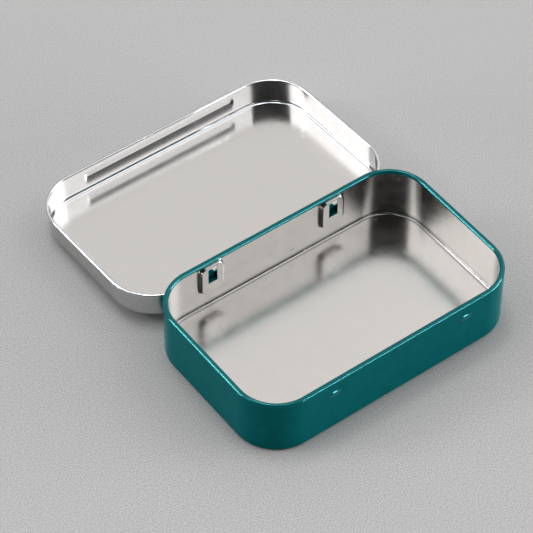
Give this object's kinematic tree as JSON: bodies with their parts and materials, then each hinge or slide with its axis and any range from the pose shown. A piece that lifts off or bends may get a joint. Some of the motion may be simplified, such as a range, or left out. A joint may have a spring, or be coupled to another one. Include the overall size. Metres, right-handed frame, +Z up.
{
  "type": "hinged metal tin",
  "caption": "Shallow round-cornered pocket tin in thin sheet, with a curled rim, a hook-hinged lid that folds right back, and a snap bead.",
  "frame": {"origin": "middle of the base's flat underside, on the surface that the tin stands on", "axes": "+X along the tin's length, -Y towards the front with the snap pips, +Y towards the hinges and the opened lid, +Z up"},
  "size_m": [0.0978, 0.123, 0.0203],
  "materials": {
    "teal_painted_tinplate": "glossy teal enamel on the outside and over the curled rim, bare inside",
    "bare_tinplate": "bright bare tinplate, satin across the panel and near mirror on the walls"
  },
  "bodies": {
    "base": {"base_shell": "teal_painted_tinplate"},
    "lid": {"lid_shell": "bare_tinplate"}
  },
  "joints": [
    {"name": "lid_hinge", "type": "hinge", "parent": "base", "child": "lid", "pos_m": [0, 0.03062, 0.01227], "axis": [1, 0, 0], "range_deg": [0, 183.53]}
  ]
}
